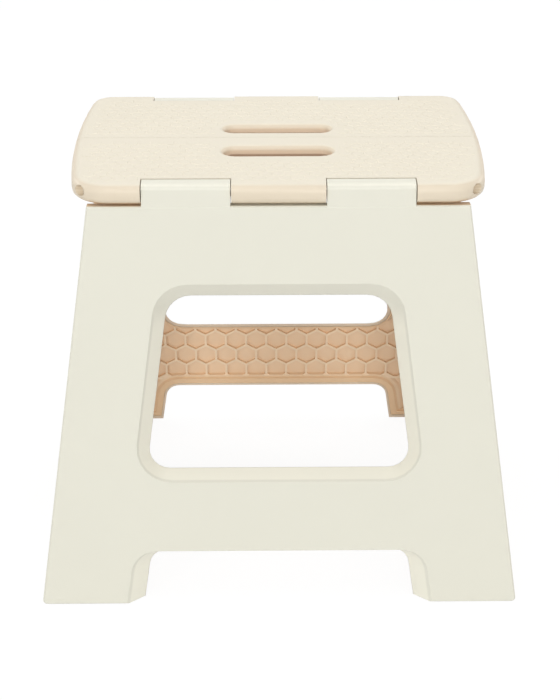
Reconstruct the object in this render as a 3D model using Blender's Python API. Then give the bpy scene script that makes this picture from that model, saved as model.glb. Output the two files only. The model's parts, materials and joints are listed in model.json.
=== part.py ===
"""Folding plastic step stool, modelled as the mouldings and pins that it is put together from.

Metres, +Z up. The origin is on the floor under the middle of the seat, +X runs along the seat and
-Y is the front. Lifting the seat by its handle slots folds the two seat halves up, the legs close
underneath and the side halves fold in between them.
"""
import math

import bmesh
import bpy
from mathutils import Matrix, Vector

MM = 0.001

# Overall sizes
SEAT_HEIGHT = 320 * MM
SEAT_LENGTH = 302.6 * MM
SEAT_DEPTH = 195.4 * MM
BASE_LENGTH = 359 * MM
BASE_DEPTH = 294 * MM
LEG_TOP_LENGTH = 267.5 * MM

# Clearances and common walls
TOUCH_GAP = 0.3 * MM
RUN_GAP = 0.6 * MM
CUT_OVER = 4 * MM

# Seat halves
SEAT_END_BOW = 7.5 * MM
FRONT_CORNER_RADIUS = 27 * MM
BACK_CORNER_RADIUS = 17 * MM
SEAT_TOP_ROUND = 6 * MM
SEAT_LOWER_ROUND = 4.8 * MM
SEAT_RIM_HEIGHT = 14.8 * MM
SEAT_TOP_WALL = 3 * MM
SEAT_WALL = 3 * MM
SEAT_RIM_WALL = 6 * MM
SEAT_SEAM_GAP = 0.5 * MM
SEAT_RIB = 2.4 * MM
SEAT_INNER_RIB = 52 * MM
SEAT_OUTER_RIB = 97 * MM
SLOT_LENGTH = 80 * MM
SLOT_FLARE = 4 * MM
FRONT_SLOT_EDGE = 18.5 * MM
FRONT_SLOT_WIDTH = 18 * MM
BACK_SLOT_EDGE = 12 * MM
BACK_SLOT_WIDTH = 15 * MM

# Leg hinges at the front and back of the seat
PIN_DROP = 6.5 * MM
PIN_RADIUS = 2 * MM
PIN_END_INSET = 15.3 * MM
DIMPLE_RADIUS = 3.9 * MM
DIMPLE_FLOOR = 0.5 * MM
NOSE_UNDERCUT = 1.4 * MM
KNUCKLE_INNER = 34 * MM
KNUCKLE_OUTER = 96.6 * MM
KNUCKLE_RADIUS = 7.7 * MM
KNUCKLE_TOP_ROUND = 5 * MM
KNUCKLE_SET_BACK = 0.2 * MM

# Centre hinge under the seam
CENTRE_AXIS_DROP = 9.02 * MM
CENTRE_BARREL_RADIUS = 4.8 * MM
CENTRE_PIN_RADIUS = 1.8 * MM
CENTRE_END_INSET = 31.3 * MM
CENTRE_ZONE_LENGTH = 30 * MM

# Leg panels
FACE_OFFSET = 7.3 * MM
LEG_DEPTH = 10.7 * MM
LEG_WALL = 2.6 * MM
LEG_EDGE_ROUND = 1 * MM
FOOT_CORNER_RADIUS = 3 * MM
WINDOW_TOP_DROP = 67.2 * MM
WINDOW_SILL_HEIGHT = 99.6 * MM
WINDOW_TOP_HALF = 87.9 * MM
WINDOW_SIDE_SLOPE = 0.137
WINDOW_TOP_RADIUS = 26 * MM
WINDOW_BOTTOM_RADIUS = 26 * MM
WINDOW_FLARE_TOP = 11.1 * MM
WINDOW_FLARE_SILL = 7.6 * MM
WINDOW_FLARE_SIDE = 9.5 * MM
WINDOW_RIM_TOP_RADIUS = 19 * MM
WINDOW_RIM_BOTTOM_RADIUS = 15 * MM
WINDOW_FLANGE = 2.8 * MM
ARCH_HEIGHT = 44.1 * MM
ARCH_TOP_HALF = 108.9 * MM
ARCH_SIDE_SLOPE = 0.15
ARCH_RADIUS = 20 * MM
ARCH_FLARE_TOP = 3.8 * MM
ARCH_FLARE_SIDE = 13 * MM
ARCH_RIM_RADIUS = 12 * MM
ARCH_FLANGE = 1.4 * MM

# Honeycomb trays inside the legs
TRAY_FLOOR = 1.8 * MM
TRAY_BORDER = 14 * MM
TRAY_TOP_BORDER = 18 * MM
TRAY_FOOT_BORDER = 4 * MM
TRAY_WINDOW_WALL = 1.5 * MM
TRAY_ARCH_WALL = 5 * MM
HEX_PITCH = 17.7 * MM
HEX_ROW_STEP = 16 * MM
HEX_ROW_HEIGHT = 70.8 * MM
HEX_RIB = 2 * MM
HEX_RIB_HEIGHT = 2.4 * MM
HEX_EDGE_KEEP = 6.5 * MM
HEX_ARCH_KEEP = 4 * MM
HEX_SILL_REACH = 6.5 * MM
HONEYCOMB_FOOT_HEIGHT = 44.5 * MM

# Side halves and their hinges
SIDE_AXIS_DEPTH = 8 * MM
SIDE_AXIS_INSET = 10 * MM
SIDE_NOSE_RADIUS = 3.8 * MM
SIDE_INNER_FACE = 3.6 * MM
SIDE_OUTER_FACE = 3.5 * MM
SIDE_SKIN = 2.5 * MM
SIDE_RIM = 3.5 * MM
SIDE_RIB = 2.4 * MM
SIDE_TOP_GAP = 6.2 * MM
SIDE_BOTTOM = 14 * MM
SIDE_BAND_HEIGHT = 85 * MM
SIDE_ARCH_RISE = 74 * MM
SIDE_FOOT_WIDTH = 46 * MM
SIDE_MID_GAP = 2 * MM
SIDE_PIN_RADIUS = 1.6 * MM
SIDE_PIN_PAST = 20 * MM
LUG_TOP_DROP = 40 * MM
LUG_FOOT_RISE = 42 * MM
LUG_LENGTH = 10 * MM
LUG_ROOT = 2.6 * MM
MID_AXIS_OFFSET = 4.5 * MM
MID_BARREL_RADIUS = 5.2 * MM
MID_PIN_RADIUS = 1.5 * MM
MID_PIN_PLAY = 1.8 * MM
MID_ZONE_START = 31 * MM
MID_END_LENGTH = 12 * MM
MID_CENTRE_LENGTH = 26 * MM

# Grip pads under the feet
PAD_LENGTH = 50 * MM
PAD_WIDTH = 5.6 * MM
PAD_THICKNESS = 1.7 * MM
PAD_PROUD = 0.5 * MM

# Smoothness of round shapes, and decimals of a metre kept in a point
ROUND_STEPS = 4
EDGE_STEPS = 3
OPENING_STEPS = 6
PIN_SIDES = 10
BARREL_SIDES = 12
PLACES = 9

# Places worked out from the sizes above
NOSE_REACH = SEAT_RIM_HEIGHT - PIN_DROP + NOSE_UNDERCUT
LEG_LEDGE_DROP = NOSE_REACH + RUN_GAP
PIN_SPACING = SEAT_DEPTH - 2 * NOSE_REACH
PIN_Y = PIN_SPACING / 2
PIN_Z = SEAT_HEIGHT - PIN_DROP
CENTRE_Z = PIN_Z - CENTRE_AXIS_DROP
CENTRE_ZONE_START = SEAT_LENGTH / 2 - CENTRE_END_INSET - 2 * CENTRE_ZONE_LENGTH
SEAT_BOTTOM = SEAT_HEIGHT - SEAT_RIM_HEIGHT
SIDE_TOP = SEAT_BOTTOM - SIDE_TOP_GAP
SIDE_ARCH_TOP = SIDE_TOP - SIDE_BAND_HEIGHT
SIDE_ARCH_SPRING = SIDE_ARCH_TOP - SIDE_ARCH_RISE
FOOT_OUT = BASE_DEPTH / 2 - PIN_Y
LEAN = math.atan2(FOOT_OUT, PIN_Z) - math.asin(FACE_OFFSET / math.hypot(FOOT_OUT, PIN_Z))
RIM_DEPTH = LEG_DEPTH - FACE_OFFSET
NOTCH_RADIUS = KNUCKLE_RADIUS + RUN_GAP
LEG_FLOOR_DROP = (PIN_Z + FACE_OFFSET * math.sin(LEAN)) / math.cos(LEAN)
LEG_SIDE_SLOPE = (BASE_LENGTH - LEG_TOP_LENGTH) / 2 / LEG_FLOOR_DROP


# Mesh helpers

def new_object(name, mesh):
    """Link a mesh into the scene as a named object."""
    thing = bpy.data.objects.new(name, mesh)
    bpy.context.scene.collection.objects.link(thing)
    return thing


def loft(name, rings):
    """Closed solid through rings of points with equal counts, capped at both ends."""
    shape = bmesh.new()
    loops = [[shape.verts.new([round(part, PLACES) for part in point]) for point in ring] for ring in rings]
    count = len(rings[0])
    for lower, upper in zip(loops, loops[1:]):
        for i in range(count):
            j = (i + 1) % count
            shape.faces.new((lower[i], lower[j], upper[j], upper[i]))
    shape.faces.new(list(reversed(loops[0])))
    shape.faces.new(loops[-1])
    bmesh.ops.recalc_face_normals(shape, faces=shape.faces)
    mesh = bpy.data.meshes.new(name)
    shape.to_mesh(mesh)
    shape.free()
    return new_object(name, mesh)


def block(name, low, high):
    """Box between two corners."""
    ring = [(low[0], low[1]), (high[0], low[1]), (high[0], high[1]), (low[0], high[1])]
    return loft(name, [[Vector((x, y, z)) for x, y in ring] for z in (low[2], high[2])])


def rod(name, start, end, radius, sides):
    """Round bar between two points."""
    axis = (end - start).normalized()
    turn = Vector((0, 0, 1)).rotation_difference(axis)
    rings = []
    for centre in (start, end):
        ring = []
        for i in range(sides):
            angle = 2 * math.pi * i / sides
            ring.append(centre + turn @ Vector((radius * math.cos(angle), radius * math.sin(angle), 0)))
        rings.append(ring)
    return loft(name, rings)


def combine(body, tool, operation):
    """Boolean of two objects, applied to the first. The second is used up."""
    modifier = body.modifiers.new(operation, "BOOLEAN")
    modifier.operation = operation
    modifier.object = tool
    evaluated = body.evaluated_get(bpy.context.evaluated_depsgraph_get())
    mesh = bpy.data.meshes.new_from_object(evaluated)
    body.modifiers.clear()
    body.data = mesh
    bpy.data.objects.remove(tool)
    return body


def cut(body, *tools):
    for tool in tools:
        combine(body, tool, "DIFFERENCE")
    return body


def join(body, *tools):
    for tool in tools:
        combine(body, tool, "UNION")
    return body


def arc(centre, radius, start, end, steps):
    """Points on a circle in the plane, angles in degrees."""
    points = []
    for i in range(steps + 1):
        angle = math.radians(start + (end - start) * i / steps)
        points.append((centre[0] + radius * math.cos(angle), centre[1] + radius * math.sin(angle)))
    return points


def rounded(corners, radii, steps):
    """Polygon with a fillet of its own at each corner."""
    outline = []
    for i, radius in enumerate(radii):
        before = Vector(corners[i - 1])
        corner = Vector(corners[i])
        after = Vector(corners[(i + 1) % len(corners)])
        if radius <= 0:
            outline.append((corner.x, corner.y))
            continue
        back = (before - corner).normalized()
        ahead = (after - corner).normalized()
        half = back.angle(ahead) / 2
        centre = corner + (back + ahead).normalized() * radius / math.sin(half)
        start = corner + back * radius / math.tan(half) - centre
        end = corner + ahead * radius / math.tan(half) - centre
        sweep = start.angle(end)
        for k in range(steps + 1):
            part = k / steps
            spoke = start * math.sin((1 - part) * sweep) + end * math.sin(part * sweep)
            point = centre + spoke / math.sin(sweep)
            outline.append((point.x, point.y))
    return outline


def mix(first, second, part):
    return first + (second - first) * part


# Seat halves, modelled as the front half in world coordinates

def seat_end(y):
    """Half length of the seat at a distance from its middle: the ends bow outwards."""
    return SEAT_LENGTH / 2 - SEAT_END_BOW * (2 * y / SEAT_DEPTH) ** 2


def seat_outline(corner, end_inset, nose_inset):
    """Plan of the front half with its corner radius, drawn in at the ends and at the nose."""
    reach = SEAT_DEPTH / 2 - corner
    start = math.atan(8 * SEAT_END_BOW * reach / SEAT_DEPTH ** 2)
    corner_y = reach + corner * math.sin(start)
    middle = seat_end(corner_y) - corner * math.cos(start)
    side = []
    for i in range(ROUND_STEPS + 1):
        y = mix(SEAT_SEAM_GAP / 2, corner_y, i / ROUND_STEPS)
        side.append((seat_end(y) - end_inset, -y))
    steps = 2 * ROUND_STEPS
    for i in range(1, steps + 1):
        angle = mix(start, math.pi / 2, i / steps)
        x = middle + (corner - end_inset) * math.cos(angle)
        y = reach + (corner - nose_inset) * math.sin(angle)
        side.append((x, -y))
    return side + [(-x, y) for x, y in reversed(side)]


def quarter_round(radius):
    """Inset and drop of each level of a rounded edge, from its flat to its upright side."""
    levels = []
    for i in range(EDGE_STEPS + 1):
        angle = math.pi / 2 * i / EDGE_STEPS
        levels.append((radius * (1 - math.sin(angle)), radius * (1 - math.cos(angle))))
    return levels


def seat_body(corner):
    """Rounded slab of one half. Below the pin the nose is round about it, so the leg's ledge can pass."""
    rings = []
    for inset, drop in quarter_round(SEAT_TOP_ROUND):
        z = SEAT_HEIGHT - drop
        rings.append([Vector((x, y, z)) for x, y in seat_outline(corner, inset, inset)])
    for inset, rise in reversed(quarter_round(SEAT_LOWER_ROUND)):
        z = SEAT_BOTTOM + rise
        nose = NOSE_REACH - math.sqrt(NOSE_REACH ** 2 - (PIN_Z - z) ** 2)
        rings.append([Vector((x, y, z)) for x, y in seat_outline(corner, inset, nose)])
    return loft("seat_half", rings)


def slot_outline(edge, width, grow):
    """Handle slot with round ends, as a plan outline."""
    radius = width / 2 + grow
    reach = SLOT_LENGTH / 2 - width / 2
    middle = -edge - width / 2
    right = arc((reach, middle), radius, -90, 90, 2 * ROUND_STEPS)
    left = arc((-reach, middle), radius, 90, 270, 2 * ROUND_STEPS)
    return right + left


def slot_solid(edge, width, levels):
    rings = [[Vector((x, y, z)) for x, y in slot_outline(edge, width, grow)] for grow, z in levels]
    return loft("slot", rings)


def seat_pocket(edge, width):
    """Hollow under the top wall, less its ribs and the collar of the handle slot."""
    seam = SEAT_SEAM_GAP / 2 + SEAT_WALL
    nose = PIN_Y - NOTCH_RADIUS - SEAT_WALL
    side = []
    for i in range(ROUND_STEPS + 1):
        y = mix(seam, nose, i / ROUND_STEPS)
        side.append((seat_end(y) - SEAT_RIM_WALL, -y))
    outline = side + [(-x, y) for x, y in reversed(side)]
    low = SEAT_BOTTOM - CUT_OVER
    high = SEAT_HEIGHT - SEAT_TOP_WALL
    pocket = loft("pocket", [[Vector((x, y, z)) for x, y in outline] for z in (low, high)])
    for place in (SEAT_INNER_RIB, SEAT_OUTER_RIB):
        for x in (-place, place):
            corner = (x - SEAT_RIB / 2, -SEAT_DEPTH, low - CUT_OVER)
            far = (x + SEAT_RIB / 2, CUT_OVER, high + CUT_OVER)
            cut(pocket, block("rib", corner, far))
    collar = slot_solid(edge, width, ((SEAT_WALL, low - CUT_OVER), (SEAT_WALL, high + CUT_OVER)))
    return cut(pocket, collar)


def knuckle_notch(side):
    """Space in the nose where a leg knuckle turns about the hinge pin."""
    lip = math.sqrt(NOTCH_RADIUS ** 2 - PIN_DROP ** 2)
    top = math.degrees(math.asin(PIN_DROP / NOTCH_RADIUS))
    profile = arc((0, 0), NOTCH_RADIUS, top, 0, ROUND_STEPS)
    profile += [(NOTCH_RADIUS, -SEAT_RIM_HEIGHT), (-SEAT_DEPTH / 4, -SEAT_RIM_HEIGHT)]
    profile += [(-SEAT_DEPTH / 4, PIN_DROP + CUT_OVER), (lip, PIN_DROP + CUT_OVER)]
    inner = side * (KNUCKLE_INNER - RUN_GAP)
    outer = side * (KNUCKLE_OUTER + RUN_GAP)
    rings = [[Vector((x, y - PIN_Y, z + PIN_Z)) for y, z in profile] for x in (inner, outer)]
    return loft("notch", rings)


def centre_zones():
    """Stretches of X that hold the front half's centre barrels. The back half has the mirrored ones."""
    first = (CENTRE_ZONE_START, CENTRE_ZONE_START + CENTRE_ZONE_LENGTH)
    far = CENTRE_ZONE_START + 2 * CENTRE_ZONE_LENGTH
    second = (-far, -far + CENTRE_ZONE_LENGTH)
    return (first, second)


def along_x(name, y, z, start, end, radius, sides):
    return rod(name, Vector((start, y, z)), Vector((end, y, z)), radius, sides)


def seat_half(edge, width, corner):
    """One half of the seat, as the front half."""
    half = cut(seat_body(corner), seat_pocket(edge, width))
    flare = [(grow, SEAT_HEIGHT - drop) for grow, drop in quarter_round(SLOT_FLARE)]
    above = [mix(near, far, 1.5) for near, far in zip(flare[1], flare[0])]
    below = (0, SEAT_BOTTOM - CUT_OVER)
    cut(half, slot_solid(edge, width, [above, *flare[1:], below]))
    for side in (-1, 1):
        cut(half, knuckle_notch(side))
    play = RUN_GAP / 2
    for start, end in centre_zones():
        join(half, along_x("barrel", 0, CENTRE_Z, start, end, CENTRE_BARREL_RADIUS, BARREL_SIDES))
    for start, end in centre_zones():
        room = CENTRE_BARREL_RADIUS + RUN_GAP
        cut(half, along_x("room", 0, CENTRE_Z, -end - play, -start + play, room, BARREL_SIDES))
    bore = CENTRE_PIN_RADIUS + TOUCH_GAP
    cut(half, along_x("bore", 0, CENTRE_Z, -SEAT_LENGTH, SEAT_LENGTH, bore, PIN_SIDES))
    bore = PIN_RADIUS + TOUCH_GAP
    cut(half, along_x("bore", -PIN_Y, PIN_Z, -SEAT_LENGTH, SEAT_LENGTH, bore, PIN_SIDES))
    seat = SEAT_LENGTH / 2 - PIN_END_INSET + DIMPLE_FLOOR
    for side in (-1, 1):
        dimple = along_x("dimple", -PIN_Y, PIN_Z, side * seat, side * SEAT_LENGTH, DIMPLE_RADIUS, PIN_SIDES)
        cut(half, dimple)
    return half


# Leg panels, in a frame of their own: X along the panel, Y into the stool, Z up the leg, pin at zero

def leg_frame():
    return Matrix.Translation((0, -PIN_Y, PIN_Z)) @ Matrix.Rotation(-LEAN, 4, "X")


def half_turn():
    return Matrix.Rotation(math.pi, 4, "Z")


def leg_half_width(z):
    return LEG_TOP_LENGTH / 2 - LEG_SIDE_SLOPE * z


def floor_line(depth, height):
    """Place along the leg of a level above the floor, at a depth behind the pin."""
    return (depth * math.sin(LEAN) + height - PIN_Z) / math.cos(LEAN)


def panel_outline(depth, inset, foot_inset):
    """Outline of the leg panel, drawn in by an inset at its edges."""
    top = -LEG_LEDGE_DROP - inset
    low = floor_line(depth, PAD_PROUD) + foot_inset
    shift = inset * math.hypot(1, LEG_SIDE_SLOPE)
    upper = leg_half_width(top) - shift
    lower = leg_half_width(low) - shift
    corners = [(-upper, top), (upper, top), (lower, low), (-lower, low)]
    radius = max(FOOT_CORNER_RADIUS - foot_inset, LEG_EDGE_ROUND / 2)
    return rounded(corners, (0, 0, radius, radius), ROUND_STEPS)


def panel_rings(levels):
    return [[Vector((x, depth, z)) for x, z in panel_outline(depth, inset, inset)] for depth, inset in levels]


def window_sizes(part):
    """Top, bottom, half widths and radii of the window, from the face (0) to the rim (1)."""
    top = -WINDOW_TOP_DROP - WINDOW_FLARE_TOP * part
    bottom = WINDOW_SILL_HEIGHT - LEG_FLOOR_DROP + WINDOW_FLARE_SILL * part
    upper = WINDOW_TOP_HALF - WINDOW_FLARE_SIDE * part - WINDOW_SIDE_SLOPE * (top + WINDOW_TOP_DROP)
    lower = upper + WINDOW_SIDE_SLOPE * (top - bottom)
    top_radius = mix(WINDOW_TOP_RADIUS, WINDOW_RIM_TOP_RADIUS, part)
    bottom_radius = mix(WINDOW_BOTTOM_RADIUS, WINDOW_RIM_BOTTOM_RADIUS, part)
    return top, bottom, upper, lower, top_radius, bottom_radius


def arch_sizes(part):
    """The same for the arch between the feet, which runs on below the floor."""
    top = ARCH_HEIGHT - LEG_FLOOR_DROP - ARCH_FLARE_TOP * part
    bottom = -LEG_FLOOR_DROP - LEG_DEPTH
    upper = ARCH_TOP_HALF - ARCH_FLARE_SIDE * part + ARCH_SIDE_SLOPE * ARCH_FLARE_TOP * part
    lower = upper + ARCH_SIDE_SLOPE * (top - bottom)
    radius = mix(ARCH_RADIUS, ARCH_RIM_RADIUS, part)
    return top, bottom, upper, lower, radius, 0


def opening_corners(sizes, grow):
    """Corners of an opening, grown outwards evenly."""
    top, bottom, upper, lower = sizes[:4]
    slope = (lower - upper) / (top - bottom)
    out = grow * math.hypot(1, slope)
    upper_x = upper - slope * grow + out
    lower_x = lower + slope * grow + out
    return [(-upper_x, top + grow), (upper_x, top + grow), (lower_x, bottom - grow), (-lower_x, bottom - grow)]


def opening_solid(kind, grow, steps):
    """Flared opening through the panel, past both faces."""
    rings = []
    for depth in (-FACE_OFFSET - CUT_OVER, RIM_DEPTH + CUT_OVER):
        sizes = kind((depth + FACE_OFFSET) / LEG_DEPTH)
        top_radius = sizes[4] + grow
        bottom_radius = sizes[5] + grow if sizes[5] else 0
        radii = (top_radius, top_radius, bottom_radius, bottom_radius)
        outline = rounded(opening_corners(sizes, grow), radii, steps)
        rings.append([Vector((x, depth, z)) for x, z in outline])
    return loft("opening", rings)


def past_flanges(window_grow, arch_grow):
    """Both openings, grown past the flanges that the shell has round them."""
    window = opening_solid(window_sizes, WINDOW_FLANGE + window_grow, ROUND_STEPS)
    arch = opening_solid(arch_sizes, ARCH_FLANGE + arch_grow, ROUND_STEPS)
    return window, arch


def knuckle(side):
    """Hinge knuckle: a barrel round the pin, flat on top and a hair behind the leg's face in front."""
    flat = math.sqrt(KNUCKLE_RADIUS ** 2 - (PIN_DROP - TOUCH_GAP) ** 2)
    top = PIN_DROP - TOUCH_GAP
    base = Matrix.Rotation(LEAN, 2)
    foot = -LEG_LEDGE_DROP - LEG_WALL / 2
    front = FACE_OFFSET - KNUCKLE_SET_BACK
    front_low = Vector((-front, foot))
    front_high = Vector((-front, (top - front * math.sin(LEAN)) / math.cos(LEAN)))
    turned = [base @ Vector((flat, top))]
    start = math.degrees(math.atan2(top, flat) + LEAN)
    barrel = arc((0, 0), KNUCKLE_RADIUS, start, -55, 2 * ROUND_STEPS)
    corner = rounded([tuple(turned[0]), tuple(front_high), tuple(front_low)], (0, KNUCKLE_TOP_ROUND, 0), ROUND_STEPS)
    profile = barrel + [(RIM_DEPTH - LEG_WALL, foot), tuple(front_low)] + list(reversed(corner[1:-1]))
    inner = side * KNUCKLE_INNER
    outer = side * KNUCKLE_OUTER
    rings = [[Vector((x, y, z)) for y, z in profile] for x in (inner, outer)]
    return loft("knuckle", rings)


def pad_box(name, side, grow, low, high):
    """Upright box round a grip pad under the front leg, in world coordinates."""
    middle_y = -BASE_DEPTH / 2 + LEG_DEPTH / 2 / math.cos(LEAN)
    middle_x = side * (BASE_LENGTH / 2 + ARCH_TOP_HALF + ARCH_SIDE_SLOPE * ARCH_HEIGHT) / 2
    reach_x = PAD_LENGTH / 2 + grow
    reach_y = PAD_WIDTH / 2 + grow
    return block(name, (middle_x - reach_x, middle_y - reach_y, low), (middle_x + reach_x, middle_y + reach_y, high))


def leg_shell():
    """Cream outer moulding: face, flared window and arch, edge walls and two knuckles."""
    levels = ((-FACE_OFFSET, LEG_EDGE_ROUND), (-FACE_OFFSET + LEG_EDGE_ROUND, 0), (RIM_DEPTH, 0))
    shell = loft("leg_shell", panel_rings(levels))
    for kind in (window_sizes, arch_sizes):
        cut(shell, opening_solid(kind, 0, OPENING_STEPS))
    hollow = loft("hollow", panel_rings(((-FACE_OFFSET + LEG_WALL, LEG_WALL), (RIM_DEPTH + CUT_OVER, LEG_WALL))))
    cut(hollow, *past_flanges(0, 0))
    cut(shell, hollow)
    for side in (-1, 1):
        join(shell, knuckle(side))
    bore = PIN_RADIUS + TOUCH_GAP
    cut(shell, along_x("bore", 0, 0, -BASE_LENGTH, BASE_LENGTH, bore, PIN_SIDES))
    for side in (-1, 1):
        pocket = pad_box("pocket", side, TOUCH_GAP, -CUT_OVER, PAD_THICKNESS + TOUCH_GAP)
        pocket.data.transform(leg_frame().inverted())
        cut(shell, pocket)
    return shell


# Honeycomb trays, in the leg's frame

def tray_field(name, hair, top_border, low, levels):
    """Area of the tray inside its borders and clear of the flared openings, drawn in by a hair."""
    rings = []
    for depth in levels:
        top = -LEG_LEDGE_DROP - LEG_WALL - TOUCH_GAP - top_border - hair
        shift = (LEG_WALL + TOUCH_GAP + TRAY_BORDER + hair) * math.hypot(1, LEG_SIDE_SLOPE)
        upper = leg_half_width(top) - shift
        lower = leg_half_width(low) - shift
        ring = [(-upper, top), (upper, top), (lower, low), (-lower, low)]
        rings.append([Vector((x, depth, z)) for x, z in ring])
    field = loft(name, rings)
    window_grow = TOUCH_GAP + TRAY_WINDOW_WALL + hair
    arch_grow = TOUCH_GAP + TRAY_ARCH_WALL + hair
    return cut(field, *past_flanges(window_grow, arch_grow))


def inside(corners, x, z, margin, bottom_margin):
    """Whether a point lies within a trapezoid that is widened by a margin, and by another at its bottom."""
    (_, top), (upper, _), (lower, bottom) = corners[0], corners[1], corners[2]
    if not bottom - bottom_margin < z < top + margin:
        return False
    return abs(x) < upper + (lower - upper) * (top - z) / (top - bottom) + margin


def honeycomb_cells(floor_depth, low):
    """Hexagonal pockets, points up, in rows that are set out from the floor."""
    radius = (HEX_PITCH - HEX_RIB) / math.sqrt(3)
    tall = HEX_ROW_STEP / (HEX_PITCH * math.sqrt(3) / 2)
    shape = bmesh.new()
    part = (floor_depth + FACE_OFFSET) / LEG_DEPTH
    window = opening_corners(window_sizes(part), WINDOW_FLANGE + TRAY_WINDOW_WALL)
    arch = opening_corners(arch_sizes(part), ARCH_FLANGE + TRAY_ARCH_WALL)
    high = -LEG_LEDGE_DROP - LEG_WALL - TRAY_TOP_BORDER
    rows = int(LEG_FLOOR_DROP / HEX_ROW_STEP)
    columns = int(BASE_LENGTH / 2 / HEX_PITCH)
    for row in range(-rows, rows):
        z = HEX_ROW_HEIGHT - LEG_FLOOR_DROP + row * HEX_ROW_STEP
        if not low < z < high:
            continue
        room = leg_half_width(z) - LEG_WALL - TRAY_BORDER - HEX_EDGE_KEEP
        for column in range(-columns, columns + 1):
            x = (column + (row + 1) % 2 / 2) * HEX_PITCH
            if abs(x) > room:
                continue
            if inside(window, x, z, HEX_EDGE_KEEP, -HEX_SILL_REACH):
                continue
            if inside(arch, x, z, HEX_ARCH_KEEP, 0):
                continue
            lower = []
            upper = []
            for corner in range(6):
                angle = math.radians(90 + 60 * corner)
                spot = (x + radius * math.cos(angle), z + radius * math.sin(angle) * tall)
                lower.append(shape.verts.new((spot[0], floor_depth, spot[1])))
                upper.append(shape.verts.new((spot[0], RIM_DEPTH, spot[1])))
            for i in range(6):
                j = (i + 1) % 6
                shape.faces.new((lower[i], lower[j], upper[j], upper[i]))
            shape.faces.new(lower)
            shape.faces.new(upper)
    bmesh.ops.recalc_face_normals(shape, faces=shape.faces)
    mesh = bpy.data.meshes.new("cells")
    shape.to_mesh(mesh)
    shape.free()
    return new_object("cells", mesh)


def side_axis_point(side, z):
    """Point of a side hinge axis in the leg's frame."""
    return Vector((side * (leg_half_width(z) - SIDE_AXIS_INSET), SIDE_AXIS_DEPTH, z))


def side_axis_direction(side):
    """Way up along a side hinge axis, in the leg's frame."""
    return (side_axis_point(side, 0) - side_axis_point(side, -LEG_FLOOR_DROP)).normalized()


def lug_drops():
    """Places of the three lugs along a side hinge axis, down from the level of the pin."""
    foot = (side_axis_point(1, 0) - side_axis_point(1, -LEG_FLOOR_DROP)).length
    low = foot - LUG_FOOT_RISE
    return (LUG_TOP_DROP, (LUG_TOP_DROP + low) / 2, low)


def lug(side, drop):
    """Hinge lug that stands on the tray's border and carries a side pin."""
    axis = side_axis_direction(side)
    middle = side_axis_point(side, 0) - axis * drop
    inward = Vector((0, 1, 0))
    across = inward.cross(axis)
    foot = RIM_DEPTH - SIDE_AXIS_DEPTH - LUG_ROOT
    profile = arc((0, 0), SIDE_NOSE_RADIUS, 0, 180, 2 * ROUND_STEPS)
    profile += [(-SIDE_NOSE_RADIUS, foot), (SIDE_NOSE_RADIUS, foot)]
    rings = []
    for end in (-LUG_LENGTH / 2, LUG_LENGTH / 2):
        rings.append([middle + axis * end + across * a + inward * b for a, b in profile])
    return loft("lug", rings)


def leg_tray():
    """Tan inner moulding: honeycomb floor, sloped flanks, solid borders and hinge lugs."""
    inset = LEG_WALL + TOUCH_GAP
    back = -FACE_OFFSET + LEG_WALL + TOUCH_GAP
    tray = loft("leg_tray", panel_rings(((back, inset), (RIM_DEPTH - TOUCH_GAP, inset))))
    cut(tray, *past_flanges(TOUCH_GAP, TOUCH_GAP))
    floor_depth = back + TRAY_FLOOR
    rib_top = floor_depth + HEX_RIB_HEIGHT
    over = RIM_DEPTH + CUT_OVER
    foot_low = floor_line(RIM_DEPTH, PAD_PROUD) + inset + TRAY_FOOT_BORDER
    comb_low = floor_line(0, HONEYCOMB_FOOT_HEIGHT)
    cut(tray, tray_field("pocket", 0, TRAY_TOP_BORDER, foot_low, (rib_top, over)))
    hair = TOUCH_GAP
    comb_levels = (back, rib_top + HEX_RIB_HEIGHT / 2)
    comb = tray_field("comb", hair, TRAY_TOP_BORDER, comb_low, comb_levels)
    cells = combine(honeycomb_cells(floor_depth, comb_low), comb, "INTERSECT")
    cut(tray, cells)
    feet_top_border = -comb_low + HEX_RIB - LEG_LEDGE_DROP - inset
    cut(tray, tray_field("feet", hair, feet_top_border, foot_low + hair, (floor_depth, over)))
    bore = SIDE_PIN_RADIUS + TOUCH_GAP
    for side in (-1, 1):
        axis = side_axis_direction(side)
        start = side_axis_point(side, 0)
        for drop in lug_drops():
            join(tray, lug(side, drop))
        cut(tray, rod("bore", start, start - axis * LEG_FLOOR_DROP, bore, PIN_SIDES))
    return tray


# Side halves, in a frame on their hinge axis: X towards the folding line, Z up the axis

def side_frame(side):
    """World frame of the front side half on one end of the stool (-1 left, 1 right)."""
    to_world = leg_frame()
    start = to_world @ side_axis_point(side, 0)
    up = (to_world.to_3x3() @ side_axis_direction(side)).normalized()
    across = (Vector((0, 1, 0)) - up * up.y).normalized()
    normal = up.cross(across)
    frame = Matrix((across, normal, up)).transposed().to_4x4()
    frame.translation = start
    return frame


def side_point(side, y, z):
    """Side half's own (X, Z) for a place on the side wall given by world Y and Z."""
    frame = side_frame(side)
    up = frame.col[2].xyz
    start = frame.translation
    spot = Vector((start.x + up.x / up.z * (z - start.z), y, z))
    local = frame.inverted() @ spot
    return (local.x, local.z)


def side_edge_y(side, z):
    """World Y of the hinge axis at a height."""
    frame = side_frame(side)
    up = frame.col[2].xyz
    start = frame.translation
    return start.y + up.y / up.z * (z - start.z)


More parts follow.
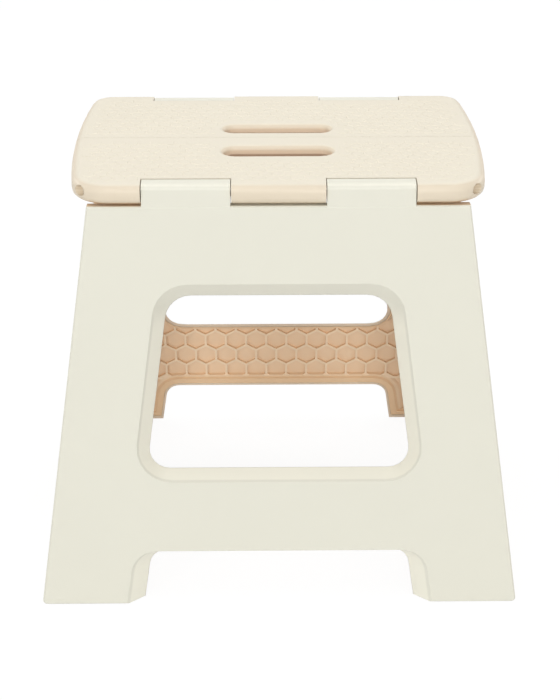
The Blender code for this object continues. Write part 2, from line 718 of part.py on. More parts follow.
def side_outline(side, inset, hinge_inset):
    """Half of the side wall: a band under the seat that arches down into one foot."""
    top = SIDE_TOP - inset
    bottom = SIDE_BOTTOM + inset
    arch_top = SIDE_ARCH_TOP + inset
    middle = -SIDE_MID_GAP - inset
    spring_y = side_edge_y(side, SIDE_ARCH_SPRING) + SIDE_FOOT_WIDTH - inset
    foot_y = side_edge_y(side, bottom) + SIDE_FOOT_WIDTH - inset
    points = [(middle, top), (middle, arch_top)]
    steps = 2 * ROUND_STEPS
    for i in range(1, steps + 1):
        angle = math.pi / 2 * i / steps
        y = mix(middle, spring_y, math.sin(angle))
        z = mix(SIDE_ARCH_SPRING, arch_top, math.cos(angle))
        points.append((y, z))
    points.append((foot_y, bottom))
    outline = [side_point(side, y, z) for y, z in points]
    low = side_point(side, side_edge_y(side, bottom), bottom)
    high = side_point(side, side_edge_y(side, top), top)
    return outline + [(hinge_inset, low[1]), (hinge_inset, high[1])]


def mid_axis(side):
    """Start and downward direction of the folding line's axis, in the side half's frame."""
    frame = side_frame(side)
    inverse = frame.inverted()
    up = frame.col[2].xyz
    start = frame.translation
    outward = frame.col[1].xyz * -side
    origin = inverse @ (Vector((start.x, 0, start.z)) + outward * MID_AXIS_OFFSET)
    down = inverse.to_3x3() @ Vector((-up.x, 0, -up.z)).normalized()
    return origin, down


def mid_zones():
    """Ends of the outer barrels and the centre barrel along the folding line."""
    first = MID_ZONE_START
    second = first + MID_END_LENGTH
    third = second + MID_CENTRE_LENGTH
    return ((first, second), (third, third + MID_END_LENGTH)), ((second, third),)


def side_half(side, carries_pin):
    """One folding half of a side wall, as the front half of its end."""
    outward = -side
    skin = outward * SIDE_OUTER_FACE
    inner = -outward * SIDE_INNER_FACE
    rings = [[Vector((x, y, z)) for x, z in side_outline(side, 0, 0)] for y in (inner, skin)]
    half = loft("side_half", rings)
    low = side_point(side, side_edge_y(side, SIDE_BOTTOM), SIDE_BOTTOM)[1]
    high = side_point(side, side_edge_y(side, SIDE_TOP), SIDE_TOP)[1]
    join(half, rod("nose", Vector((0, 0, low)), Vector((0, 0, high)), SIDE_NOSE_RADIUS, PIN_SIDES))

    hollow_rings = []
    for y in (inner - outward * CUT_OVER, skin - outward * SIDE_SKIN):
        outline = side_outline(side, SIDE_RIM, SIDE_NOSE_RADIUS + SIDE_RIM)
        hollow_rings.append([Vector((x, y, z)) for x, z in outline])
    hollow = loft("hollow", hollow_rings)
    reach = SEAT_DEPTH
    for drop in lug_drops()[:-1]:
        z = -drop - LUG_LENGTH
        cut(hollow, block("rib", (0, -reach, z - SIDE_RIB / 2), (reach, reach, z + SIDE_RIB / 2)))
    cut(half, hollow)

    for drop in lug_drops():
        room = SIDE_NOSE_RADIUS + RUN_GAP
        reach_z = LUG_LENGTH / 2 + RUN_GAP
        cut(half, block("lug_room", (-2 * room, -2 * room, -drop - reach_z), (room, 2 * room, -drop + reach_z)))
    bore = SIDE_PIN_RADIUS + TOUCH_GAP
    cut(half, rod("bore", Vector((0, 0, low - CUT_OVER)), Vector((0, 0, high + CUT_OVER)), bore, PIN_SIDES))

    origin, down = mid_axis(side)
    outer_zones, centre_zone = mid_zones()
    own, other = (outer_zones, centre_zone) if carries_pin else (centre_zone, outer_zones)
    play = RUN_GAP / 2
    clear = MID_BARREL_RADIUS + MID_PIN_PLAY
    for start, end in own:
        join(half, rod("barrel", origin + down * start, origin + down * end, MID_BARREL_RADIUS, BARREL_SIDES))
    for start, end in other:
        room = rod("room", origin + down * (start - play), origin + down * (end + play), clear, BARREL_SIDES)
        cut(half, room)
    bore = MID_PIN_RADIUS + (TOUCH_GAP if carries_pin else MID_PIN_PLAY)
    last = mid_zones()[0][1][1]
    cut(half, rod("bore", origin, origin + down * (last + CUT_OVER), bore, PIN_SIDES))
    return half


def side_pin():
    drops = lug_drops()
    start = Vector((0, 0, SIDE_PIN_PAST - drops[0]))
    end = Vector((0, 0, -SIDE_PIN_PAST - drops[-1]))
    return rod("side_pin", start, end, SIDE_PIN_RADIUS, PIN_SIDES)


def mid_pin(side):
    origin, down = mid_axis(side)
    outer_zones = mid_zones()[0]
    start = origin + down * (outer_zones[0][0] + RUN_GAP)
    end = origin + down * (outer_zones[1][1] - RUN_GAP)
    return rod("mid_pin", start, end, MID_PIN_RADIUS, PIN_SIDES)


# Materials

def plastic(name, colour, roughness, metallic):
    material = bpy.data.materials.new(name)
    material.use_nodes = True
    shader = material.node_tree.nodes["Principled BSDF"]
    shader.inputs["Base Color"].default_value = (*colour, 1)
    shader.inputs["Roughness"].default_value = roughness
    shader.inputs["Metallic"].default_value = metallic
    return material


def finish(thing, name, material, frame):
    """Give an object its node name, material and place, and smooth its round faces."""
    thing.name = name
    thing.data.name = name
    thing.data.materials.clear()
    thing.data.materials.append(material)
    thing.data.shade_smooth()
    thing.data.set_sharp_from_angle(angle=math.radians(30))
    thing.matrix_world = frame
    return thing


def copy_of(thing, name, frame):
    """Second object on the same mesh."""
    twin = new_object(name, thing.data)
    twin.matrix_world = frame
    return twin


def build():
    for thing in list(bpy.data.objects):
        bpy.data.objects.remove(thing)
    cream = plastic("cream_plastic", (0.83, 0.81, 0.70), 0.45, 0)
    beige = plastic("beige_plastic", (0.86, 0.80, 0.68), 0.5, 0)
    tan = plastic("tan_plastic", (0.68, 0.47, 0.32), 0.5, 0)
    steel = plastic("hinge_steel", (0.62, 0.62, 0.62), 0.3, 1)
    grip = plastic("grip_rubber", (0.75, 0.72, 0.62), 0.85, 0)

    front = leg_frame()
    back = half_turn() @ front
    centre = Matrix.Translation((0, 0, CENTRE_Z))
    front_axis = Matrix.Translation((0, -PIN_Y, PIN_Z))
    back_axis = Matrix.Translation((0, PIN_Y, PIN_Z))

    half = seat_half(FRONT_SLOT_EDGE, FRONT_SLOT_WIDTH, FRONT_CORNER_RADIUS)
    half.data.transform(centre.inverted())
    finish(half, "seat_front_half", beige, centre)
    half = seat_half(BACK_SLOT_EDGE, BACK_SLOT_WIDTH, BACK_CORNER_RADIUS)
    half.data.transform(back_axis.inverted() @ half_turn())
    finish(half, "seat_back_half", beige, back_axis)

    far = CENTRE_ZONE_START + 2 * CENTRE_ZONE_LENGTH
    for name, start, end in (("left", -far, -CENTRE_ZONE_START), ("right", CENTRE_ZONE_START, far)):
        pin = along_x("pin", 0, 0, start + RUN_GAP, end - RUN_GAP, CENTRE_PIN_RADIUS, PIN_SIDES)
        finish(pin, f"centre_hinge_pin_{name}", steel, centre)
    reach = SEAT_LENGTH / 2 - PIN_END_INSET
    pin = along_x("pin", 0, 0, -reach, reach, PIN_RADIUS, PIN_SIDES)
    finish(pin, "front_hinge_pin", steel, front_axis)
    copy_of(pin, "back_hinge_pin", back_axis)

    shell = finish(leg_shell(), "front_leg_shell", cream, front)
    copy_of(shell, "back_leg_shell", back)
    tray = finish(leg_tray(), "front_leg_tray", tan, front)
    copy_of(tray, "back_leg_tray", back)
    for side, name, opposite in ((-1, "left", "right"), (1, "right", "left")):
        pad = pad_box("pad", side, 0, 0, PAD_THICKNESS)
        finish(pad, f"front_{name}_foot_pad", grip, Matrix.Identity(4))
        copy_of(pad, f"back_{opposite}_foot_pad", half_turn())

    for side, name, opposite in ((-1, "left", "right"), (1, "right", "left")):
        place = side_frame(side)
        turned = half_turn() @ place
        carries_pin = side < 0
        panel = finish(side_half(side, carries_pin), f"{name}_front_side", tan, place)
        copy_of(panel, f"{opposite}_back_side", turned)
        pin = finish(side_pin(), f"{name}_front_side_pin", steel, place)
        copy_of(pin, f"{opposite}_back_side_pin", turned)
        if carries_pin:
            pin = finish(mid_pin(side), f"{name}_fold_pin", steel, place)
            copy_of(pin, f"{opposite}_fold_pin", turned)


build()
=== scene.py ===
"""Looks of a folding step stool: cream legs, beige seat with a fine hexagon grip, tan honeycomb inside."""
import json
import math

import bpy
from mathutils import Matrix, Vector
from mathutils.bvhtree import BVHTree


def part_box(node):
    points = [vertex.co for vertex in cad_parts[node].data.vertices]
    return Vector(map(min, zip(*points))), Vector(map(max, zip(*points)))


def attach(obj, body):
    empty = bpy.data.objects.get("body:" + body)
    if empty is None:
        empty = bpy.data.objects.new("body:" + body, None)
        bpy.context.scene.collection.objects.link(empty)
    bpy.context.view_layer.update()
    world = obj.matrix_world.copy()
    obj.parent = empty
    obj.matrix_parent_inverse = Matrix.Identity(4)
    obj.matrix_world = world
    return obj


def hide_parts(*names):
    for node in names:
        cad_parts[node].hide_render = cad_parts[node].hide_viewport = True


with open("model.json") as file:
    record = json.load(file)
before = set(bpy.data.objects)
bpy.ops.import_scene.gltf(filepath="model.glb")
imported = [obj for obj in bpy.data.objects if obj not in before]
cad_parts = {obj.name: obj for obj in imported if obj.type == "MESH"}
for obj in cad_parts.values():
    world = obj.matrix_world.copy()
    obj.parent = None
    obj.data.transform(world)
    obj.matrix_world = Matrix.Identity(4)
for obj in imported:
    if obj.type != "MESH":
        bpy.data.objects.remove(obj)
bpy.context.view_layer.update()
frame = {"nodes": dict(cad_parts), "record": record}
nodes = frame["nodes"]
bodies = frame["record"]["behaviour"]["bodies"]
body_of = {node: body for body, members in bodies.items() for node in members}
slot_of = {row["node"]: row["material_slot"] for row in frame["record"]["subparts"]}

MM = 0.001

# Camera and frame of the photograph
CAMERA_PLACE = (-0.01114, -1.2017, 0.7656)
CAMERA_PITCH = 0.4797
CAMERA_YAW = -0.01087
FOCAL_PIXELS = 1700
FRAME_LONG_SIDE = 700
SENSOR = 36

# Light, with each lamp's name, place, size and power
STUDIO_LIGHT = 0.38
LAMP_TARGET = (0, 0, 0.16)
LAMPS = (
    ("top_lamp", (0, -0.12, 2.4), 2.0, 14.8),
    ("front_lamp", (0, -5.7, 3.07), 1.3, 119),
    ("left_lamp", (-3.46, -4.93, 2.35), 1.6, 50),
    ("right_lamp", (3.46, -4.93, 2.35), 1.6, 25),
    ("back_left_lamp", (-4.6, 3.6, 2.2), 1.6, 62),
    ("back_right_lamp", (4.6, 3.6, 2.2), 1.6, 62),
)

# Floor
FLOOR_SIZE = 60
FLOOR_WHITE = (0.86, 0.86, 0.86)
FLOOR_ROUGHNESS = 0.9
FLOOR_GLOW = 1.05
FLOOR_GLOW_SHARE = 0.88

# Colours, linear
CREAM = (0.765, 0.75, 0.645)
# Paler cream: painted light on the legs' chamfers and knuckle tops
LIT_EDGE_CREAM = (0.88, 0.86, 0.74)
BEIGE = (0.78, 0.68, 0.53)
# Palest beige: painted light on the seat's flat top and its grip
LIT_TOP_BEIGE = (0.89, 0.825, 0.685)
# Warm tan and dark brown: painted shade on the walls of the handle slots
SHADED_SLOT_TAN = (0.78, 0.62, 0.46)
SLOT_SHADE = (0.42, 0.29, 0.20)
# Painted shade inside the pin dimples
SHADED_DIMPLE_TAN = (0.66, 0.54, 0.38)
# Painted shade under the seat's corner tabs
SHADED_UNDER_TAN = (0.68, 0.50, 0.33)
# Painted shade in the gap between the corner tabs and the leg's ledge
SHADED_LEDGE_BROWN = (0.78, 0.61, 0.42)
RIM_TAN = (0.82, 0.69, 0.54)
TAN_FLOOR = (0.92, 0.70, 0.485)
# Paler tan: painted light on the honeycomb rib tops
LIT_TAN_RIB = (0.95, 0.77, 0.565)
TAN_BORDER = (0.875, 0.64, 0.41)
# Darker tan: painted shade on the walls of the honeycomb cells
SHADED_TAN_WALL = (0.80, 0.57, 0.365)
STEEL = (0.60, 0.59, 0.57)
RUBBER = (0.62, 0.58, 0.48)

# Skins of the plastics and the rubber, with their values in the order of the inputs
SKIN_INPUTS = ("Drift", "Roughness", "Grain Scale", "Grain Depth", "Edge Radius")
CREAM_SKIN = (0.012, 0.36, 900, 0.25, 0.5 * MM)
BEIGE_SKIN = (0.012, 0.42, 1100, 0.3, 0.5 * MM)
GRIP_SKIN = (0.02, 0.45, 1100, 0.3, 0.2 * MM)
TAN_SKIN = (0.02, 0.45, 900, 0.3, 0.35 * MM)
RUBBER_SKIN = (0.03, 0.75, 1500, 0.5, 0.3 * MM)
DRIFT_SCALE = 14
DRIFT_DETAIL = 3
GRAIN_DETAIL = 2
GRAIN_HEIGHT = 0.1 * MM
GRAIN_ROUGHNESS = 0.12
EDGE_SAMPLES = 6

# Drawn marks on the steel, stretched along the pins
MARK_SCALE = (60, 2500, 2500)
MARK_ROUGHNESS = (0.25, 0.45)

# Hexagon grip on the seat
HEXAGON_SIDES = 6
HEXAGON_PITCH = 9 * MM
HEXAGON_GROOVE = 0.7 * MM
HEXAGON_RAISE = 0.2 * MM
HEXAGON_CHAMFER = 0.18 * MM
HEXAGON_SINK = 0.1 * MM
SMOOTH_ZONE_REACH = 48 * MM
SMOOTH_ZONE_FRONT = -45 * MM
SMOOTH_ZONE_BACK = 35 * MM
FACING_UP = 0.9

# Tones of the seat: each pair is where a tone begins and where it is full
TOP_HEIGHTS = (318.8 * MM, 319.9 * MM)
UNDER_HEIGHTS = (307.5 * MM, 305.5 * MM)
CORNER_TAB_REACH = 95 * MM
SLOT_REACH = 45 * MM
SLOTS_MIDDLE = -5 * MM
SLOTS_SPREAD = 37 * MM
SLOT_TAN_HEIGHTS = (318.5 * MM, 315 * MM)
SLOT_SHADE_HEIGHTS = (314.2 * MM, 313 * MM)
PIN_REACH = 88 * MM
PIN_HEIGHT = 313.5 * MM
SEAT_END_REACH = 125 * MM
DIMPLE_RADII = (4.1 * MM, 3.6 * MM)

# Depths inside a leg, as distances from the stool's middle at floor level
LEG_SLOPE = 0.1646
FACE_DEPTH = 147 * MM
RIM_DEPTH = 136.2 * MM
RIB_DEPTH = 139.9 * MM
CELL_DEPTH = 142.2 * MM

# Tones of the legs and trays, in the same kind of pairs
EDGE_DEPTHS = (FACE_DEPTH - 1 * MM, FACE_DEPTH - 2.5 * MM)
WINDOW_REACH = 112 * MM
WINDOW_TOP_HEIGHTS = (212 * MM, 232 * MM)
KNUCKLE_TOP_HEIGHTS = (317.5 * MM, 319 * MM)
LEDGE_REACH = 97.2 * MM
LEDGE_HEIGHTS = (300.5 * MM, 301.5 * MM)
LEDGE_DEPTHS = (FACE_DEPTH - 1 * MM, FACE_DEPTH - 2 * MM)
RIM_TOP = 285 * MM
RIM_DEPTHS = (RIM_DEPTH + 1.2 * MM, RIM_DEPTH + 0.6 * MM)
INWARD_NORMALS = (-0.4, -0.7)
RIB_DEPTHS = (CELL_DEPTH, RIB_DEPTH)
BORDER_DEPTHS = (RIB_DEPTH - 1 * MM, RIB_DEPTH - 2 * MM)
CELL_WALL_DEPTHS = (RIB_DEPTH - 0.2 * MM, RIB_DEPTH + 0.2 * MM)
CELL_WALL_NORMALS = (0.8, 0.5)

# Smooth shading
MERGE = 0.01 * MM
SEAT_SMOOTH_ANGLE = math.radians(35)
SMOOTH_ANGLE = math.radians(24)


# Shader helpers

def new_material(name):
    material = bpy.data.materials.new(name)
    material.use_nodes = True
    tree = material.node_tree
    return material, tree, tree.nodes["Principled BSDF"]


def moulded_group():
    """Fine moulding grain with a slow drift of tone, shared by every plastic."""
    group = bpy.data.node_groups.new("moulded_plastic", "ShaderNodeTree")
    face = group.interface
    face.new_socket("Color", in_out="INPUT", socket_type="NodeSocketColor")
    for name in SKIN_INPUTS:
        face.new_socket(name, in_out="INPUT", socket_type="NodeSocketFloat")
    face.new_socket("Color", in_out="OUTPUT", socket_type="NodeSocketColor")
    face.new_socket("Roughness", in_out="OUTPUT", socket_type="NodeSocketFloat")
    face.new_socket("Normal", in_out="OUTPUT", socket_type="NodeSocketVector")
    make = group.nodes.new
    link = group.links.new
    entry = make("NodeGroupInput")
    leave = make("NodeGroupOutput")
    place = make("ShaderNodeTexCoord")

    slow = make("ShaderNodeTexNoise")
    slow.inputs["Scale"].default_value = DRIFT_SCALE
    slow.inputs["Detail"].default_value = DRIFT_DETAIL
    link(place.outputs["Object"], slow.inputs["Vector"])
    swing = make("ShaderNodeMapRange")
    swing.inputs["To Min"].default_value = -1
    swing.inputs["To Max"].default_value = 1
    link(slow.outputs["Fac"], swing.inputs["Value"])
    amount = make("ShaderNodeMath")
    amount.operation = "MULTIPLY_ADD"
    amount.inputs[2].default_value = 1
    link(swing.outputs["Result"], amount.inputs[0])
    link(entry.outputs["Drift"], amount.inputs[1])
    tone = make("ShaderNodeHueSaturation")
    link(entry.outputs["Color"], tone.inputs["Color"])
    link(amount.outputs["Value"], tone.inputs["Value"])
    link(tone.outputs["Color"], leave.inputs["Color"])

    grain = make("ShaderNodeTexNoise")
    grain.inputs["Detail"].default_value = GRAIN_DETAIL
    link(place.outputs["Object"], grain.inputs["Vector"])
    link(entry.outputs["Grain Scale"], grain.inputs["Scale"])
    rough = make("ShaderNodeMath")
    rough.operation = "MULTIPLY_ADD"
    rough.inputs[1].default_value = GRAIN_ROUGHNESS
    link(grain.outputs["Fac"], rough.inputs[0])
    link(entry.outputs["Roughness"], rough.inputs[2])
    link(rough.outputs["Value"], leave.inputs["Roughness"])

    edge = make("ShaderNodeBevel")
    edge.samples = EDGE_SAMPLES
    link(entry.outputs["Edge Radius"], edge.inputs["Radius"])
    bump = make("ShaderNodeBump")
    bump.inputs["Distance"].default_value = GRAIN_HEIGHT
    link(entry.outputs["Grain Depth"], bump.inputs["Strength"])
    link(grain.outputs["Fac"], bump.inputs["Height"])
    link(edge.outputs["Normal"], bump.inputs["Normal"])
    link(bump.outputs["Normal"], leave.inputs["Normal"])
    return group


MOULDED = moulded_group()


def plastic(name, colour, skin_values):
    """Moulded material of one colour, with its own values for the shared skin."""
    material, tree, shader = new_material(name)
    skin = tree.nodes.new("ShaderNodeGroup")
    skin.name = "skin"
    skin.node_tree = MOULDED
    skin.inputs["Color"].default_value = (*colour, 1)
    for entry, value in zip(SKIN_INPUTS, skin_values):
        skin.inputs[entry].default_value = value
    tree.links.new(skin.outputs["Color"], shader.inputs["Base Color"])
    tree.links.new(skin.outputs["Roughness"], shader.inputs["Roughness"])
    tree.links.new(skin.outputs["Normal"], shader.inputs["Normal"])
    return material


def surface_axes(tree, kind):
    """X, Y and Z of a surface's own place (Object) or direction (Normal), as three sockets."""
    surface = tree.nodes.new("ShaderNodeTexCoord")
    split = tree.nodes.new("ShaderNodeSeparateXYZ")
    tree.links.new(surface.outputs[kind], split.inputs["Vector"])
    return split.outputs["X"], split.outputs["Y"], split.outputs["Z"]


def calculate(tree, operation, first, second):
    """One sum on two values, each a socket or a number."""
    step = tree.nodes.new("ShaderNodeMath")
    step.operation = operation
    for value, entry in ((first, step.inputs[0]), (second, step.inputs[1])):
        if isinstance(value, (int, float)):
            entry.default_value = value
        else:
            tree.links.new(value, entry)
    return step.outputs["Value"]


def without_sign(tree, value):
    return calculate(tree, "ABSOLUTE", value, 0)


def both(tree, first, second):
    """Mask of what two masks share."""
    return calculate(tree, "MULTIPLY", first, second)


def ramp_between(tree, value, zero_at, one_at):
    """0 to 1 as a value runs between two places."""
    span = tree.nodes.new("ShaderNodeMapRange")
    span.interpolation_type = "SMOOTHSTEP"
    span.inputs["From Min"].default_value = zero_at
    span.inputs["From Max"].default_value = one_at
    tree.links.new(value, span.inputs["Value"])
    return span.outputs["Result"]


def two_tone(material, mask, second):
    """Let a second colour into a plastic where a mask is 1, over the tones that it has already."""
    tree = material.node_tree
    skin = tree.nodes["skin"]
    blend = tree.nodes.new("ShaderNodeMix")
    blend.data_type = "RGBA"
    colour = skin.inputs["Color"]
    if colour.is_linked:
        tree.links.new(colour.links[0].from_socket, blend.inputs["A"])
    else:
        blend.inputs["A"].default_value = colour.default_value
    blend.inputs["B"].default_value = (*second, 1)
    tree.links.new(mask, blend.inputs["Factor"])
    tree.links.new(blend.outputs["Result"], skin.inputs["Color"])


# Plastics of the seat, the legs and the trays

def slot_walls(tree, width, y, z):
    """1 on the walls of the two handle slots."""
    spread = without_sign(tree, calculate(tree, "SUBTRACT", y, SLOTS_MIDDLE))
    along = calculate(tree, "LESS_THAN", width, SLOT_REACH)
    across = calculate(tree, "LESS_THAN", spread, SLOTS_SPREAD)
    return both(tree, both(tree, along, across), ramp_between(tree, z, *SLOT_TAN_HEIGHTS))


def pin_dimples(tree, width, y, z):
    """1 inside the dimples at the ends of the leg hinge pins."""
    out = calculate(tree, "SUBTRACT", without_sign(tree, y), PIN_REACH)
    up = calculate(tree, "SUBTRACT", z, PIN_HEIGHT)
    out_squared = calculate(tree, "POWER", out, 2)
    up_squared = calculate(tree, "POWER", up, 2)
    away = calculate(tree, "SQRT", calculate(tree, "ADD", out_squared, up_squared), 0)
    end = calculate(tree, "GREATER_THAN", width, SEAT_END_REACH)
    return both(tree, end, ramp_between(tree, away, *DIMPLE_RADII))


def seat_beige():
    """Seat plastic: painted shade in the slots and dimples and under the corner tabs, painted light on
    top.
    """
    material = plastic("beige_plastic", BEIGE, BEIGE_SKIN)
    tree = material.node_tree
    x, y, z = surface_axes(tree, "Object")
    width = without_sign(tree, x)
    slots = slot_walls(tree, width, y, z)
    # Painted shade on the slot walls, warm tan
    two_tone(material, slots, SHADED_SLOT_TAN)
    # Painted shade, darker, low on the slot walls
    two_tone(material, both(tree, slots, ramp_between(tree, z, *SLOT_SHADE_HEIGHTS)), SLOT_SHADE)
    # Painted shade inside the pin dimples
    two_tone(material, pin_dimples(tree, width, y, z), SHADED_DIMPLE_TAN)
    corner_tabs = calculate(tree, "GREATER_THAN", width, CORNER_TAB_REACH)
    # Painted shade on the underside of the corner tabs
    two_tone(material, both(tree, corner_tabs, ramp_between(tree, z, *UNDER_HEIGHTS)), SHADED_UNDER_TAN)
    # Painted light: the seat's flat top palest
    two_tone(material, ramp_between(tree, z, *TOP_HEIGHTS), LIT_TOP_BEIGE)
    return material


def leg_depth(tree, y, z):
    """Distance from the stool's middle to a leg's sloping planes, at floor level."""
    lean = calculate(tree, "MULTIPLY", z, LEG_SLOPE)
    return calculate(tree, "ADD", without_sign(tree, y), lean)


def facing_in(tree, y):
    """1 on a leg's surfaces that look towards the stool's middle."""
    normal_y = surface_axes(tree, "Normal")[1]
    outwards = calculate(tree, "MULTIPLY", normal_y, calculate(tree, "SIGN", y, 0))
    return ramp_between(tree, outwards, *INWARD_NORMALS)


def leg_cream():
    """Leg plastic: painted light on chamfers and knuckle tops, painted shade on the ledge, tan on the
    inward rim.
    """
    material = plastic("cream_plastic", CREAM, CREAM_SKIN)
    tree = material.node_tree
    x, y, z = surface_axes(tree, "Object")
    width = without_sign(tree, x)
    depth = leg_depth(tree, y, z)
    in_window = calculate(tree, "LESS_THAN", width, WINDOW_REACH)
    window_top = both(tree, in_window, ramp_between(tree, z, *WINDOW_TOP_HEIGHTS))
    elsewhere = calculate(tree, "SUBTRACT", 1, window_top)
    # Painted light on the chamfers and reveals, left off the window's downward-facing top
    two_tone(material, both(tree, elsewhere, ramp_between(tree, depth, *EDGE_DEPTHS)), LIT_EDGE_CREAM)
    # Painted light on the knuckle tops
    two_tone(material, ramp_between(tree, z, *KNUCKLE_TOP_HEIGHTS), LIT_EDGE_CREAM)
    outer = calculate(tree, "GREATER_THAN", width, LEDGE_REACH)
    ledge = both(tree, outer, ramp_between(tree, z, *LEDGE_HEIGHTS))
    # Painted shade on the ledge under the corner tabs
    two_tone(material, both(tree, ledge, ramp_between(tree, depth, *LEDGE_DEPTHS)), SHADED_LEDGE_BROWN)
    below_hinge = calculate(tree, "LESS_THAN", z, RIM_TOP)
    rim = both(tree, below_hinge, ramp_between(tree, depth, *RIM_DEPTHS))
    two_tone(material, both(tree, rim, facing_in(tree, y)), RIM_TAN)
    return material


def tray_tan():
    """Tray plastic: painted light on the honeycomb ribs, darker on the border, painted shade on the cell
    walls.
    """
    material = plastic("tan_plastic", TAN_FLOOR, TAN_SKIN)
    tree = material.node_tree
    y, z = surface_axes(tree, "Object")[1:]
    depth = leg_depth(tree, y, z)
    # Painted light on the honeycomb rib tops
    two_tone(material, ramp_between(tree, depth, *RIB_DEPTHS), LIT_TAN_RIB)
    two_tone(material, ramp_between(tree, depth, *BORDER_DEPTHS), TAN_BORDER)
    facing = without_sign(tree, surface_axes(tree, "Normal")[1])
    upright = ramp_between(tree, facing, *CELL_WALL_NORMALS)
    # Painted shade on the cell walls
    two_tone(material, both(tree, upright, ramp_between(tree, depth, *CELL_WALL_DEPTHS)), SHADED_TAN_WALL)
    return material


def drawn_steel():
    """Bright pin steel with fine marks along its length."""
    material, tree, shader = new_material("drawn_steel")
    make = tree.nodes.new
    link = tree.links.new
    place = make("ShaderNodeTexCoord")
    stretch = make("ShaderNodeMapping")
    stretch.inputs["Scale"].default_value = MARK_SCALE
    link(place.outputs["Object"], stretch.inputs["Vector"])
    marks = make("ShaderNodeTexNoise")
    marks.inputs["Scale"].default_value = 1
    link(stretch.outputs["Vector"], marks.inputs["Vector"])
    spread = make("ShaderNodeMapRange")
    spread.inputs["To Min"].default_value = MARK_ROUGHNESS[0]
    spread.inputs["To Max"].default_value = MARK_ROUGHNESS[1]
    link(marks.outputs["Fac"], spread.inputs["Value"])
    link(spread.outputs["Result"], shader.inputs["Roughness"])
    shader.inputs["Base Color"].default_value = (*STEEL, 1)
    shader.inputs["Metallic"].default_value = 1
    return material


# Stage

def make_camera():
    data = bpy.data.cameras.new("photo_camera")
    data.sensor_width = SENSOR
    data.lens = FOCAL_PIXELS * SENSOR / FRAME_LONG_SIDE
    camera = bpy.data.objects.new("photo_camera", data)
    camera.location = CAMERA_PLACE
    camera.rotation_euler = (math.pi / 2 - CAMERA_PITCH, 0, CAMERA_YAW)
    bpy.context.scene.collection.objects.link(camera)
    bpy.context.scene.camera = camera


def seen_ray(tree):
    """1 for what the camera sees directly or by reflection, 0 for light falling on the object."""
    path = tree.nodes.new("ShaderNodeLightPath").outputs
    direct = calculate(tree, "MAXIMUM", path["Is Camera Ray"], path["Is Glossy Ray"])
    return calculate(tree, "MAXIMUM", direct, path["Is Transmission Ray"])


def make_world():
    world = bpy.data.worlds.new("studio")
    world.use_nodes = True
    bpy.context.scene.world = world
    tree = world.node_tree
    light = tree.nodes["Background"]
    light.inputs["Color"].default_value = (1, 1, 1, 1)
    light.inputs["Strength"].default_value = STUDIO_LIGHT
    white = tree.nodes.new("ShaderNodeBackground")
    white.inputs["Color"].default_value = (1, 1, 1, 1)
    white.inputs["Strength"].default_value = 1
    blend = tree.nodes.new("ShaderNodeMixShader")
    tree.links.new(seen_ray(tree), blend.inputs["Fac"])
    tree.links.new(light.outputs["Background"], blend.inputs[1])
    tree.links.new(white.outputs["Background"], blend.inputs[2])
    tree.links.new(blend.outputs["Shader"], tree.nodes["World Output"].inputs["Surface"])


def soft_lamp(name, place, size, power):
    data = bpy.data.lights.new(name, "AREA")
    data.shape = "DISK"
    data.size = size
    data.energy = power
    lamp = bpy.data.objects.new(name, data)
    lamp.location = place
    lamp.rotation_euler = (Vector(LAMP_TARGET) - Vector(place)).to_track_quat("-Z", "Y").to_euler()
    bpy.context.scene.collection.objects.link(lamp)


def make_floor():
    """White floor that shows the object's shadow faintly and throws its light back in full."""
    bpy.ops.object.select_all(action="DESELECT")
    bpy.ops.mesh.primitive_plane_add(size=FLOOR_SIZE, location=(0, 0, 0))
    floor = bpy.context.object
    floor.name = "floor"
    material, tree, shader = new_material("pale_floor")
    shader.inputs["Base Color"].default_value = (*FLOOR_WHITE, 1)
    shader.inputs["Roughness"].default_value = FLOOR_ROUGHNESS
    glow = tree.nodes.new("ShaderNodeEmission")
    glow.inputs["Strength"].default_value = FLOOR_GLOW
    amount = calculate(tree, "MULTIPLY", seen_ray(tree), FLOOR_GLOW_SHARE)
    blend = tree.nodes.new("ShaderNodeMixShader")
    tree.links.new(amount, blend.inputs["Fac"])
    tree.links.new(shader.outputs["BSDF"], blend.inputs[1])
    tree.links.new(glow.outputs["Emission"], blend.inputs[2])
    tree.links.new(blend.outputs["Shader"], tree.nodes["Material Output"].inputs["Surface"])
    floor.data.materials.append(material)


# Pieces

def pick_only(thing):
    bpy.ops.object.select_all(action="DESELECT")
    thing.select_set(True)
    bpy.context.view_layer.objects.active = thing


def smooth_skin(node, material, angle):
    """Merged copy of a CAD piece with true round edges in its shading, shown in the piece's place."""
    copy = bpy.data.objects.new(node + "_skin", nodes[node].data.copy())
    bpy.context.scene.collection.objects.link(copy)
    pick_only(copy)
    bpy.ops.mesh.customdata_custom_splitnormals_clear()
    bpy.ops.object.mode_set(mode="EDIT")
    bpy.ops.mesh.select_all(action="SELECT")
    bpy.ops.mesh.remove_doubles(threshold=MERGE)
    bpy.ops.object.mode_set(mode="OBJECT")
    bpy.ops.object.shade_smooth_by_angle(angle=angle, keep_sharp_edges=False)
    even = copy.modifiers.new("even", "WEIGHTED_NORMAL")
    even.keep_sharp = True
    bpy.ops.object.modifier_apply(modifier=even.name)
    copy.data.materials.clear()
    copy.data.materials.append(material)
    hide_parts(node)
    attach(copy, body_of[node])


def stands_on_top(top, x, y, height):
    """Whether all the corners of a hexagon lie over the seat's flat top."""
    reach = HEXAGON_PITCH / math.sqrt(3)
    for corner in range(HEXAGON_SIDES):
        angle = math.radians(90 + 360 * corner / HEXAGON_SIDES)
        over = Vector((x + reach * math.cos(angle), y + reach * math.sin(angle), height + reach))
        hit = top.ray_cast(over, Vector((0, 0, -1)))[0]
        if hit is None or hit.z < height - MERGE:
            return False
    return True


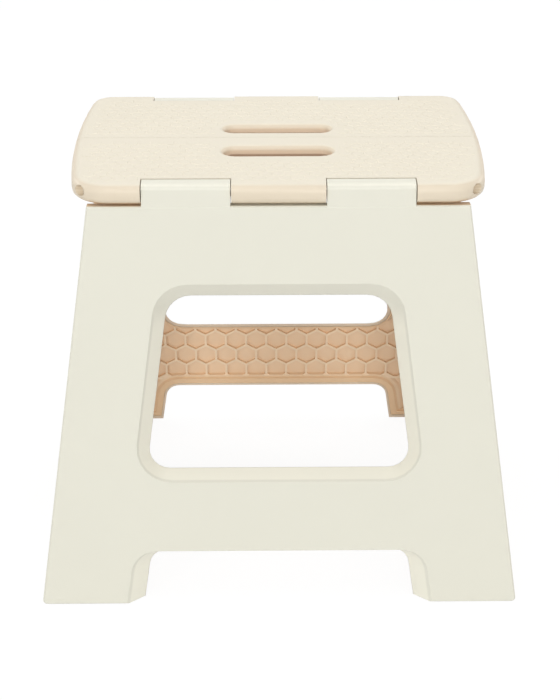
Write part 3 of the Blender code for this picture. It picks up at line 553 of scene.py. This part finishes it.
def hexagon_spots(node):
    """Middles of the hexagons of one seat half, clear of the smooth zone round the handle slots."""
    low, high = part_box(node)
    top = BVHTree.FromObject(nodes[node], bpy.context.evaluated_depsgraph_get())
    row_step = HEXAGON_PITCH * math.sqrt(3) / 2
    spots = []
    for row in range(math.ceil(low.y / row_step), math.ceil(high.y / row_step)):
        y = (row + 0.5) * row_step
        for column in range(math.floor(low.x / HEXAGON_PITCH), math.ceil(high.x / HEXAGON_PITCH)):
            x = (column + row % 2 / 2) * HEXAGON_PITCH
            smooth = abs(x) < SMOOTH_ZONE_REACH and SMOOTH_ZONE_FRONT < y < SMOOTH_ZONE_BACK
            if not smooth and stands_on_top(top, x, y, high.z):
                spots.append(Vector((x, y, high.z)))
    return spots


def bevel_top(thing, width):
    """Break the edges of a piece's upper face."""
    bpy.ops.object.mode_set(mode="EDIT")
    bpy.ops.mesh.select_mode(type="FACE")
    bpy.ops.mesh.select_all(action="DESELECT")
    bpy.ops.object.mode_set(mode="OBJECT")
    for face in thing.data.polygons:
        face.select = face.normal.z > FACING_UP
    bpy.ops.object.mode_set(mode="EDIT")
    bpy.ops.mesh.bevel(offset=width, segments=1, affect="EDGES")
    bpy.ops.object.mode_set(mode="OBJECT")


def hexagon_grip(name, node, material):
    """Sheet of low chamfered hexagons on a seat half."""
    bpy.ops.object.select_all(action="DESELECT")
    radius = (HEXAGON_PITCH - HEXAGON_GROOVE) / math.sqrt(3)
    middle = (HEXAGON_RAISE - HEXAGON_SINK) / 2
    bpy.ops.mesh.primitive_cylinder_add(
        vertices=HEXAGON_SIDES, radius=radius, depth=HEXAGON_RAISE + HEXAGON_SINK, location=(0, 0, middle))
    first = bpy.context.object
    bpy.ops.object.transform_apply(location=True, rotation=True, scale=True)
    bevel_top(first, HEXAGON_CHAMFER)
    spots = hexagon_spots(node)
    tiles = []
    for spot in spots[1:]:
        tile = bpy.data.objects.new("hexagon", first.data.copy())
        tile.location = spot
        bpy.context.scene.collection.objects.link(tile)
        tiles.append(tile)
    first.location = spots[0]
    pick_only(first)
    for tile in tiles:
        tile.select_set(True)
    bpy.ops.object.join()
    bpy.ops.object.transform_apply(location=True, rotation=True, scale=True)
    first.name = name
    first.data.materials.append(material)
    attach(first, body_of[node])


# Finishes

# Grip tiles share the seat top's colour of painted light
grip = plastic("lit_grip_beige", LIT_TOP_BEIGE, GRIP_SKIN)
finish_of = {
    "cream_plastic": leg_cream(),
    "beige_plastic": seat_beige(),
    "tan_plastic": tray_tan(),
    "hinge_steel": drawn_steel(),
    "grip_rubber": plastic("grip_rubber", RUBBER, RUBBER_SKIN),
}

hexagon_grip("front_hexagon_grip", "seat_front_half", grip)
hexagon_grip("back_hexagon_grip", "seat_back_half", grip)
for node in sorted(nodes):
    finish = slot_of[node]
    smooth_skin(node, finish_of[finish], SEAT_SMOOTH_ANGLE if finish == "beige_plastic" else SMOOTH_ANGLE)

make_camera()
make_world()
make_floor()
for lamp in LAMPS:
    soft_lamp(*lamp)

bpy.context.scene.view_settings.view_transform = "Standard"
